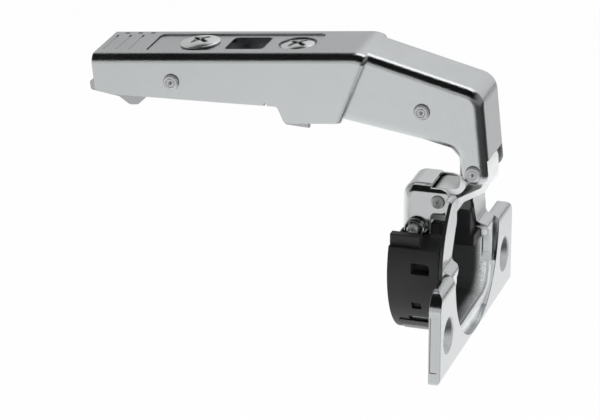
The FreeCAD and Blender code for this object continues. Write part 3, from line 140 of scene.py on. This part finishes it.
def plated(name, dark, light, rough, cloud_size, cloud, bump_size, bump, edge, nook_shade_tone, stain_and_shade=None,
           lean=0.0):
    """Plated steel: tone and roughness follow slow clouds, the normal a fine grain and slow waves.

    Edges are softened, and painted shade darkens the nooks that an occlusion node finds, down to the nook
    tone.
    The marks function, given (shade, place), may add marks and painted shade: it gives the added roughness,
    the share of tone that is left and the share that shines as metal. lean tilts the shading normal of faces
    that look along -Y a little up: it changes their look and not their form.
    """
    material, shade, shader = new_material(name)
    place = shade.node("ShaderNodeTexCoord", out=3)
    clouds = grain(shade, place, cloud_size, 3.0)
    grains = grain(shade, place, bump_size, 2.0)
    waves = grain(shade, place, WAVE_LENGTH, 1.0)
    soft = shade.node("ShaderNodeBevel", {"samples": SAMPLES}, {"Radius": edge})
    # Painted shade: the occlusion node darkens the tone in nooks and between parts.
    nook_shade = shade.node("ShaderNodeAmbientOcclusion", {"samples": SAMPLES}, {"Distance": NOOK_SHADE_REACH}, out="AO")
    share = fade(shade, nook_shade, 0.0, 0.9, nook_shade_tone, 1.0)
    shine = rough + (clouds - 0.5) * cloud + (grains - 0.5) * cloud
    if stain_and_shade:
        rougher, left, metal = stain_and_shade(shade, place)
        shine = shine + rougher
        share = share * left
        shade.tree.links.new(metal.output, shader.inputs["Metallic"])
    else:
        shader.inputs["Metallic"].default_value = 1.0
    plating = blend_colours(shade, clouds, dark, light)
    tone = blend_colours(shade, share, NOOK_SHADE_COLOUR, plating)
    if lean:
        near = fade(shade, parts_of(shade, soft)[1], -0.75, -0.97, 0.0, lean)
        raised = shade.node("ShaderNodeCombineXYZ", inputs={2: near})
        soft = shade.node("ShaderNodeVectorMath", {"operation": "ADD"}, {0: soft, 1: raised})
    normal = shade.node("ShaderNodeBump", {}, {"Strength": 1.0, "Distance": 1.0, "Normal": soft,
                                               "Height": grains * bump + waves * WAVE_HEIGHT})
    shade.tree.links.new(tone.output, shader.inputs["Base Color"])
    shade.tree.links.new(shine.output, shader.inputs["Roughness"])
    shade.tree.links.new(normal.output, shader.inputs["Normal"])
    return material


def dress(name, material):
    """Gives a CAD node its finish."""
    nodes[name].material_slots[0].material = material


RECESS_HALF = 13.3 * MM
RECESS_LOW = -13.3 * MM
RECESS_HIGH = -1.2 * MM
RECESS_FRONT = 0.6 * MM
STEP_HALF = 15.2 * MM
STEP_LOW = -15.2 * MM
STEP_FRONT = 2.36 * MM
HOLE_ASIDE = 22.5 * MM
HOLE_LEVEL = -9.5 * MM
SINK_RADIUS = 3.85 * MM
SINK_FLOOR = 3.4 * MM
BORE_RADIUS = 2.0 * MM
SKIRT_RADIUS = 17.35 * MM
SKIRT_FRONT = -0.4 * MM
SKIRT_LOW = -16.4 * MM
DEPTH_DARK = -1.8 * MM
DEPTH_LIT = 0.9 * MM
NEAR_DARK = -9 * MM
FAR_LIT = 11 * MM
SPECKLE_SIZE = 0.35 * MM
BLUR = 0.2 * MM


def cup_marks_and_shade(shade, place):
    """Marks of the cup by place: each mask is a product of smooth limits in X, Y and Z or round a hole.

    The recess is grainy, and painted shade darkens it with its depth and towards the near side. The
    countersinks are darkened, with painted shade on their upper half round a bore painted dark, the step
    round the recess is duller, and the skirt is black.
    """
    x, y, z = parts_of(shade, place)
    aside = shade.maths("ABSOLUTE", y)
    in_recess = inside(shade, x, RECESS_FRONT, 2 * BLUR) * inside(shade, aside, RECESS_HALF, BLUR)
    in_recess = in_recess * inside(shade, z, RECESS_LOW, -BLUR) * inside(shade, z, RECESS_HIGH, 3 * BLUR)
    from_hole_y = aside - HOLE_ASIDE
    from_hole_z = z - HOLE_LEVEL
    from_hole = shade.maths("SQRT", from_hole_y * from_hole_y + from_hole_z * from_hole_z)
    in_sink = inside(shade, from_hole, SINK_RADIUS, BLUR / 2)
    in_bore = inside(shade, from_hole, BORE_RADIUS, BLUR)
    painted_sink_shade = fade(shade, from_hole_z / from_hole, -0.7, 0.2)
    painted_sink_shade = painted_sink_shade * inside(shade, from_hole, SINK_FLOOR, 1.5 * BLUR)
    in_step = inside(shade, x, STEP_FRONT, 0.3 * BLUR) * inside(shade, aside, STEP_HALF, BLUR)
    in_step = in_step * inside(shade, z, STEP_LOW, -BLUR) * inside(shade, z, 0.0, 5 * BLUR)
    # Painted shade in the recess: its light falls from the front to the back and towards the near side.
    painted_recess_light = fade(shade, x, DEPTH_DARK, DEPTH_LIT, 0.02, 1.0)
    painted_recess_light = painted_recess_light * fade(shade, y, NEAR_DARK, FAR_LIT, 0.25, 1.0)
    out = shade.maths("SQRT", y * y + z * z)
    on_skirt = inside(shade, out, SKIRT_RADIUS, -BLUR / 2) * inside(shade, x, SKIRT_FRONT, BLUR)
    on_skirt = on_skirt * inside(shade, z, SKIRT_LOW, -1.5 * BLUR)
    speckle = grain(shade, place, SPECKLE_SIZE, 2.0)
    rougher = in_recess * (0.25 + (speckle - 0.5) * 0.4) + in_sink * 0.06 + in_step * 0.08
    # Painted shade: the bores, the upper halves of the countersinks and the countersinks as a whole are
    # darkened.
    left = (1 - 0.92 * in_bore) * (1 - 0.9 * painted_sink_shade) * (1 - 0.4 * in_sink) * (1 - on_skirt)
    left = left * (1 - in_recess * (1 - painted_recess_light * (0.9 - (speckle - 0.5) * 1.6)))
    metal = (1 - 0.75 * in_recess) * (1 - 0.6 * in_sink) * (1 - 0.6 * in_step) * (1 - on_skirt)
    return rougher, left, metal


NICKEL_DARK = (0.60, 0.62, 0.63)
NICKEL_LIGHT = (0.66, 0.68, 0.685)
cup_nickel = plated("cup_nickel", NICKEL_DARK, NICKEL_LIGHT, rough=0.17, cloud_size=9 * MM, cloud=0.08,
                    bump_size=0.22 * MM, bump=0.020 * MM, edge=0.18 * MM, nook_shade_tone=0.5, stain_and_shade=cup_marks_and_shade)
dress("hinge_cup", cup_nickel)

# Recess lip
# The edge of the sheet round the recess stands up as a low rounded bead.
# It belongs to the same pressing as the cup, so it has the cup's plating and moves with it.
LIP_WIDTH = 0.6 * MM
LIP_HEIGHT = 0.45 * MM
LIP_HALF = 13.8 * MM
LIP_LOW = -13.7 * MM
LIP_HIGH = -8.5 * MM
LIP_CORNER = 5.1 * MM
LIP_FACE = 1.5 * MM
LIP_STEPS = 140
LIP_SIDES = 20
SAME_POINT = 0.0002 * MM


def round_mesh(name, points):
    """Closed mesh over a grid of points: rows go round, and the first and last row are single points."""
    rows, columns = points.shape[:2]
    row, column = np.meshgrid(np.arange(rows - 1), np.arange(columns), indexing="ij")
    next_column = (column + 1) % columns
    quads = np.stack((row * columns + column, (row + 1) * columns + column, (row + 1) * columns + next_column,
                      row * columns + next_column), axis=-1).reshape(-1, 4)
    mesh = bpy.data.meshes.new(name)
    mesh.vertices.add(rows * columns)
    mesh.vertices.foreach_set("co", points.reshape(-1).astype(np.float32))
    mesh.loops.add(quads.size)
    mesh.loops.foreach_set("vertex_index", quads.reshape(-1).astype(np.int32))
    mesh.polygons.add(len(quads))
    mesh.polygons.foreach_set("loop_start", np.arange(0, quads.size, 4, dtype=np.int32))
    mesh.update(calc_edges=True)
    shell = bmesh.new()
    shell.from_mesh(mesh)
    bmesh.ops.remove_doubles(shell, verts=shell.verts, dist=SAME_POINT)
    bmesh.ops.recalc_face_normals(shell, faces=shell.faces)
    shell.to_mesh(mesh)
    shell.free()
    mesh.polygons.foreach_set("use_smooth", np.ones(len(mesh.polygons), dtype=bool))
    return mesh


def lip_points():
    """Bead along a U: the path goes down one side, round two corners and up the other side.

    Across the path the section is an ellipse, low in front of the sheet and wide along it, that shrinks to
    a point at both ends as a quarter circle does.
    """
    straight = LIP_HIGH - LIP_LOW - LIP_CORNER
    quarter = LIP_CORNER * math.pi / 2
    foot = 2 * (LIP_HALF - LIP_CORNER)
    whole = 2 * straight + 2 * quarter + foot
    along = whole / 2 * (1 - np.cos(np.linspace(0, math.pi, LIP_STEPS)))
    from_end = np.clip(np.minimum(along, whole - along) / LIP_WIDTH, 0, 1)
    swell = np.sqrt(1 - (1 - from_end) ** 2)
    stops = np.cumsum([0, straight, quarter, foot, quarter, straight])
    turn = np.interp(along, stops, [0, 0, math.pi / 2, math.pi / 2, math.pi, math.pi])
    side = np.where(along < (stops[2] + stops[3]) / 2, -1, 1)
    foot_run = np.clip(along - stops[2], 0, foot) - foot / 2
    rise = np.where(side < 0, np.clip(straight - along, 0, straight), np.clip(along - stops[4], 0, straight))
    y = foot_run - LIP_CORNER * np.cos(turn)
    z = LIP_LOW + LIP_CORNER - LIP_CORNER * np.sin(turn) + rise
    out_y = -np.cos(turn)
    out_z = -np.sin(turn)
    angle = np.linspace(0, 2 * math.pi, LIP_SIDES, endpoint=False)
    wide = swell[:, None] * LIP_WIDTH * np.cos(angle)
    high = swell[:, None] * LIP_HEIGHT * np.sin(angle)
    across = y[:, None] + out_y[:, None] * wide
    level = z[:, None] + out_z[:, None] * wide
    return np.stack((LIP_FACE + high, across, level), axis=-1)


lip = bpy.data.objects.new("recess_lip", round_mesh("recess_lip", lip_points()))
bpy.context.scene.collection.objects.link(lip)
lip.data.materials.append(cup_nickel)
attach(lip, "cup")

# Pivot bracket
# A small box bent from steel strip, with ears against the backs of the posts, that carries the cup pins.
# It is polished and plated bright, so that it mirrors its surroundings.
polished_nickel = plated("polished_nickel", (0.75, 0.765, 0.77), (0.81, 0.82, 0.83), rough=0.10,
                         cloud_size=5 * MM, cloud=0.05, bump_size=0.20 * MM, bump=0.003 * MM,
                         edge=0.25 * MM, nook_shade_tone=0.6, lean=0.2)
dress("pivot_bracket", polished_nickel)

# Damper housing
# A body of black plastic that fills the cup behind the recess, with side tabs and room for the springs.
# It is injection moulded, with a fine dull grain and softened edges.
MOULD_CLOUD = 4 * MM
MOULD_DEPTH = 0.03 * MM


def moulded(name, dark, light, rough, bump_size, bump, edge):
    """Moulded plastic: tone follows slow clouds, roughness and normal a fine grain. Edges are softened."""
    material, shade, shader = new_material(name)
    place = shade.node("ShaderNodeTexCoord", out=3)
    clouds = grain(shade, place, MOULD_CLOUD, 3.0)
    grains = grain(shade, place, bump_size, 3.0)
    tone = blend_colours(shade, clouds, dark, light)
    shine = rough + (grains - 0.5) * 0.2
    soft = shade.node("ShaderNodeBevel", {"samples": SAMPLES}, {"Radius": edge})
    normal = shade.node("ShaderNodeBump", {}, {"Strength": bump, "Distance": MOULD_DEPTH, "Normal": soft,
                                               "Height": grains})
    shade.tree.links.new(tone.output, shader.inputs["Base Color"])
    shade.tree.links.new(shine.output, shader.inputs["Roughness"])
    shade.tree.links.new(normal.output, shader.inputs["Normal"])
    return material


black_acetal = moulded("black_acetal", (0.004, 0.004, 0.0045), (0.009, 0.009, 0.010), rough=0.45,
                       bump_size=0.12 * MM, bump=0.4, edge=0.4 * MM)
dress("damper_housing", black_acetal)

# Damper
# A sealed steel cylinder lies in the housing, and a slider in front of it passes on the push.
# The cylinder is dull drawn steel, and the slider is moulded from grey plastic.
PIN_PATCH = 0.8 * MM
grey_acetal = moulded("grey_acetal", (0.03, 0.031, 0.032), (0.05, 0.051, 0.052), rough=0.4,
                      bump_size=0.12 * MM, bump=0.4, edge=0.2 * MM)
dress("damper_slider", grey_acetal)


def pin_stain(shade, place):
    """Dull cut ends: rougher, and partly without metal's mirror."""
    patches = grain(shade, place, PIN_PATCH, 2.0)
    return 0.05 + patches * 0.1, 0.85 + patches * 0.2, 0.7 + patches * 0.2


pin_steel = plated("pin_steel", (0.56, 0.57, 0.575), (0.66, 0.67, 0.675), rough=0.30, cloud_size=1.2 * MM,
                   cloud=0.12, bump_size=0.12 * MM, bump=0.008 * MM, edge=0.15 * MM, nook_shade_tone=0.2,
                   stain_and_shade=pin_stain)
dress("damper_cylinder", pin_steel)

# Pins
# Five pivots cut from drawn steel rod, pushed through the sheet and riveted over at both ends.
# Their ends are duller and a little darker than the plated sheet.
for pin in ("cup_pin_upper", "cup_pin_lower", "arm_pin_outer", "arm_pin_inner", "latch_pin"):
    dress(pin, pin_steel)

# Springs
# Leg springs that close the door, on the lower cup pin, and one that holds the latch, on its pin.
# They are coiled from bright drawn steel wire.
spring_wire = plated("spring_wire", (0.50, 0.505, 0.51), (0.60, 0.605, 0.61), rough=0.2, cloud_size=1 * MM,
                     cloud=0.1, bump_size=0.10 * MM, bump=0.003 * MM, edge=0.05 * MM, nook_shade_tone=0.3)
for spring in ("closing_springs", "latch_spring"):
    dress(spring, spring_wire)

# Links
# Two cranked plates of heavier steel sheet that swing between the cup pins and the arm pins.
# They are pressed with rolled eyes and plated, and their tone is duller than the arm's.
LINK_PATCH = 2 * MM


def link_stain(shade, place):
    """Duller all over, in soft patches."""
    patches = grain(shade, place, LINK_PATCH, 2.0)
    return 0.08 + patches * 0.1, 0.95 + patches * 0.1, 0.3 + patches * 0.2


link_nickel = plated("link_nickel", (0.70, 0.71, 0.715), (0.80, 0.81, 0.815), rough=0.20, cloud_size=4 * MM,
                     cloud=0.10, bump_size=0.22 * MM, bump=0.02 * MM, edge=0.25 * MM, nook_shade_tone=0.4,
                     stain_and_shade=link_stain)
for link in ("outer_link", "inner_link"):
    dress(link, link_nickel)

# Hinge arm
# A cranked channel pressed from one blank, with rolled edges, plated like the cup.
# Its even grain breaks up the edges of the reflections in the bends.
satin_nickel = plated("satin_nickel", NICKEL_DARK, NICKEL_LIGHT, rough=0.19, cloud_size=9 * MM, cloud=0.10,
                      bump_size=0.24 * MM, bump=0.036 * MM, edge=0.18 * MM, nook_shade_tone=0.85)
dress("hinge_arm", satin_nickel)

# Adjusting plate and clip
# The plate lies under the arm's top, and the clip channel and the latch hang below it on their own sheet.
# Clip and latch have a darker tone than the arm, painted shade for their place under the arm's top, so that
# they stand out below it, and their nooks take strong painted shade.
dress("adjust_plate", satin_nickel)
shaded_clip_nickel = plated("shaded_clip_nickel", (0.44, 0.45, 0.455), (0.52, 0.53, 0.535), rough=0.24, cloud_size=4 * MM,
                     cloud=0.10, bump_size=0.22 * MM, bump=0.02 * MM, edge=0.3 * MM, nook_shade_tone=0.1)
for piece in ("clip_channel", "clip_latch"):
    dress(piece, shaded_clip_nickel)

# Adjusting screws
# Two steel screws in the arm's top, for the depth and for the side, whose shanks turn in the plate.
# They are cold headed and plated bright, with a domed head and a deep cross recess.
ARM_TILT = math.radians(6.0)
ARM_ORIGIN = np.array((2.95, 0.0, 19.5)) * MM
CROSS_LENGTH = 4.9 * MM
CROSS_WIDTH = 1.25 * MM
CROSS_DEPTH = 1.5 * MM
CROSS_SLOPE = 0.15 * MM
CROSS_TURN = 0.88
CROSS_FALL = 0.45
CROSS_TIP = 0.55
HEAD_EDGE = 0.25 * MM
DOME_RINGS = 70
EDGE_RINGS = 9
SCREW_SIDES = 224


def screw_points(u, seat, rim, dome, radius, shank, foot):
    """Body of revolution about the arm's w axis with a cross sunk into its dome.

    The profile goes out from the dome's middle over its rounded rim, down the head, in under it, down the
    shank and back to the axis. The sink is deepest in the middle, falls off along each of the four arms
    and ends in steep flanks.
    """
    bend = np.linspace(0, math.pi / 2, EDGE_RINGS)[1:]
    flat = radius - HEAD_EDGE
    out = np.linspace(0, flat, DOME_RINGS)
    top = seat + rim
    domed = top + dome * (1 - (out / flat) ** 2)
    rounded = top - HEAD_EDGE + HEAD_EDGE * np.cos(bend)
    profile_r = np.concatenate((out, flat + HEAD_EDGE * np.sin(bend), [radius, shank, shank, 0]))
    profile_w = np.concatenate((domed, rounded, [seat, seat, foot, foot]))
    angle = np.linspace(0, 2 * math.pi, SCREW_SIDES, endpoint=False)
    along = profile_r[:, None] * np.cos(angle)
    beside = profile_r[:, None] * np.sin(angle)
    first = along * math.cos(CROSS_TURN) + beside * math.sin(CROSS_TURN)
    second = beside * math.cos(CROSS_TURN) - along * math.sin(CROSS_TURN)
    reach = np.maximum(np.abs(first), np.abs(second))
    off = np.minimum(np.abs(first), np.abs(second))
    taper = np.clip(1 - reach / (CROSS_LENGTH / 2), 0, 1) ** CROSS_FALL
    half_width = CROSS_WIDTH / 2 * (CROSS_TIP + (1 - CROSS_TIP) * taper)
    flank = np.clip((half_width - off) / CROSS_SLOPE + 0.5, 0, 1)
    on_dome = np.arange(len(profile_r))[:, None] < len(out)
    height = profile_w[:, None] - CROSS_DEPTH * taper * flank * on_dome
    shift = u + along
    x = ARM_ORIGIN[0] + shift * math.cos(ARM_TILT) - height * math.sin(ARM_TILT)
    z = ARM_ORIGIN[2] + shift * math.sin(ARM_TILT) + height * math.cos(ARM_TILT)
    return np.stack((x, beside, z), axis=-1)[::-1]


# A very low nook tone paints the cross recess nearly black: painted shade.
screw_plating = plated("screw_plating", (0.84, 0.85, 0.855), (0.92, 0.93, 0.935), rough=0.12,
                       cloud_size=3 * MM, cloud=0.08, bump_size=0.15 * MM, bump=0.004 * MM, edge=0.05 * MM,
                       nook_shade_tone=0.03)
for node, body, sizes_mm in (
        ("depth_cam_screw", "cam",
         dict(u=-57.9, seat=25.5, rim=0.5, dome=0.55, radius=4.2, shank=2.2, foot=22.7)),
        ("side_adjust_screw", "side_screw",
         dict(u=-36.8, seat=24.9, rim=0.4, dome=0.5, radius=3.6, shank=2.0, foot=22.7))):
    points = screw_points(**{name: size * MM for name, size in sizes_mm.items()})
    screw = bpy.data.objects.new(node + "_turned", round_mesh(node + "_turned", points))
    bpy.context.scene.collection.objects.link(screw)
    screw.data.materials.append(screw_plating)
    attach(screw, body)
    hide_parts(node)

# Camera
# It looks down on the near side from the right, at the photograph's angle.
# The lens is long, so that parallel edges stay nearly parallel.
CAMERA_PLACE = Vector((0.16746, -0.64477, 0.27481))
CAMERA_FORWARD = Vector((-0.2792, 0.8855, -0.3714))
CAMERA_RIGHT = Vector((0.9537, 0.3007, 0.0))
LENS_MM = 210
SENSOR_MM = 36
NEAREST = 0.01
forward = CAMERA_FORWARD.normalized()
right = CAMERA_RIGHT.normalized()
up = right.cross(forward)
lens = bpy.data.cameras.new("camera")
lens.lens = LENS_MM
lens.sensor_width = SENSOR_MM
lens.clip_start = NEAREST
camera = bpy.data.objects.new("camera", lens)
camera.matrix_world = Matrix.Translation(CAMERA_PLACE) @ Matrix((right, up, -forward)).transposed().to_4x4()
bpy.context.scene.collection.objects.link(camera)
bpy.context.scene.camera = camera

# Floor
# A plain pale sweep below the part. It is white where the camera looks past the part.
# In reflections it fades towards the front, and ends in the dark of the room on the right.
FLOOR_HEIGHT = -0.12
FLOOR_HALF = 4.0
PAPER_GREY = (0.85, 0.85, 0.85, 1)
PAPER_ROUGH = 0.9
GLOW_SHARE = 0.97
LEFT_EDGE = (-0.22, -0.12)
LEFT_TONE = 0.76
MIDDLE_EDGE = (-0.105, -0.08)
MIDDLE_TONE = 0.78
FRONT_EDGE = (-0.30, 0.05)
BACK_EDGE = (0.36, 0.45)
BACK_TONE = 0.68
RIGHT_EDGE = (0.12, 0.25)
RIGHT_TONE = 0.02
SLANT = 0.3
floor_mesh = bpy.data.meshes.new("floor")
corner = np.array([(-1, -1), (1, -1), (1, 1), (-1, 1)]) * FLOOR_HALF
floor_mesh.from_pydata(np.column_stack((corner, np.full(4, FLOOR_HEIGHT))).tolist(), [], [(0, 1, 2, 3)])
floor = bpy.data.objects.new("floor", floor_mesh)
bpy.context.scene.collection.objects.link(floor)

paper, shade, shader = new_material("paper")
across, depth, _ = parts_of(shade, shade.node("ShaderNodeTexCoord", out=3))
left_tone = fade(shade, across, *LEFT_EDGE, LEFT_TONE, 1.0)
front_tone = left_tone * fade(shade, across, *MIDDLE_EDGE, 1.0, MIDDLE_TONE)
front_shade = fade(shade, depth, *FRONT_EDGE, front_tone, 1.0)
back_tone = fade(shade, across + depth, *BACK_EDGE, 1.0, BACK_TONE)
side_shade = fade(shade, across - SLANT * depth, *RIGHT_EDGE, 1.0, RIGHT_TONE)
camera_ray = shade.node("ShaderNodeLightPath", out="Is Camera Ray")
glossy_ray = shade.node("ShaderNodeLightPath", out="Is Glossy Ray")
through_ray = shade.node("ShaderNodeLightPath", out="Is Transmission Ray")
seen = shade.maths("MAXIMUM", shade.maths("MAXIMUM", camera_ray, glossy_ray), through_ray)
white_share = shade.maths("MAXIMUM", camera_ray, front_shade * back_tone * side_shade)
white = shade.node("ShaderNodeEmission", inputs={"Strength": white_share, "Color": (1, 1, 1, 1)})
shader.inputs["Base Color"].default_value = PAPER_GREY
shader.inputs["Roughness"].default_value = PAPER_ROUGH
matt = Shade(shade.tree, shader.outputs[0])
sweep = shade.node("ShaderNodeMixShader", inputs={0: seen * GLOW_SHARE, 1: matt, 2: white})
shade.tree.links.new(sweep.output, shade.tree.nodes["Material Output"].inputs["Surface"])
floor_mesh.materials.append(paper)

# Light
# A soft tent: pale walls behind and low in front, dark above and dim on the right.
# A soft lamp overhead and one on the right light the dull faces, and a panel behind the bends.
EAVES_EDGE = (-0.15, 0.35)
EAVES_FRONT = 0.22
EAVES_BACK = 0.58
ROOF_EDGE = 0.12
ROOF_TONE = 0.015
ROOF_SIDES = (0.58, 0.80)
ROOF_SIDE_TONE = 0.7
WALL_EDGE = (-0.45, -0.05)
WALL_LEFT_TONE = 0.51
WALL_RIGHT_TONE = 0.76
OPEN_EDGE = (0.15, 0.40)
OPEN_TONE = 0.35
world = bpy.data.worlds.new("tent")
bpy.context.scene.world = world
world.use_nodes = True
tent = Shade(world.node_tree)
aside, away, height = parts_of(tent, tent.node("ShaderNodeTexCoord", out=0))
eaves = fade(tent, away, *EAVES_EDGE, EAVES_FRONT, EAVES_BACK)
far_aside = fade(tent, tent.maths("ABSOLUTE", aside), *ROOF_SIDES, ROOF_TONE, ROOF_SIDE_TONE)
roof = fade(tent, height - eaves, 0.0, ROOF_EDGE, 1.0, far_aside)
wall = fade(tent, aside, *WALL_EDGE, WALL_LEFT_TONE, WALL_RIGHT_TONE)
open_side = fade(tent, aside - SLANT * away, *OPEN_EDGE, 1.0, OPEN_TONE)
backdrop = world.node_tree.nodes["Background"]
world.node_tree.links.new((roof * wall * open_side).output, backdrop.inputs["Strength"])
backdrop.inputs["Color"].default_value = (1, 1, 1, 1)

OVERHEAD_PLACE = Vector((-0.3, -0.4, 1.4))
OVERHEAD_TURN = (math.radians(-16), math.radians(-12), 0)
OVERHEAD_SIZE = 1.2
OVERHEAD_WATTS = 10
FILL_PLACE = Vector((0.9, -0.9, 0.35))
FILL_SIZE = 0.8
FILL_WATTS = 26
STRIP_PLACE = Vector((0.15, 0.65, 1.06))
STRIP_SIZE = 0.9
STRIP_DEPTH = 0.8
STRIP_WATTS = 3.4


def soft_lamp(name, shape, size, watts, place):
    """Area lamp at a place, turned to the origin."""
    light = bpy.data.lights.new(name, "AREA")
    light.shape = shape
    light.size = size
    light.energy = watts
    lamp = bpy.data.objects.new(name, light)
    lamp.location = place
    lamp.rotation_euler = (-place).to_track_quat("-Z", "Y").to_euler()
    bpy.context.scene.collection.objects.link(lamp)
    return lamp


overhead = soft_lamp("overhead", "DISK", OVERHEAD_SIZE, OVERHEAD_WATTS, OVERHEAD_PLACE)
overhead.rotation_euler = OVERHEAD_TURN
overhead.visible_glossy = False
fill = soft_lamp("fill", "DISK", FILL_SIZE, FILL_WATTS, FILL_PLACE)
fill.visible_glossy = False
strip = soft_lamp("strip", "RECTANGLE", STRIP_SIZE, STRIP_WATTS, STRIP_PLACE)
strip.data.size_y = STRIP_DEPTH

bpy.context.scene.view_settings.view_transform = "Standard"
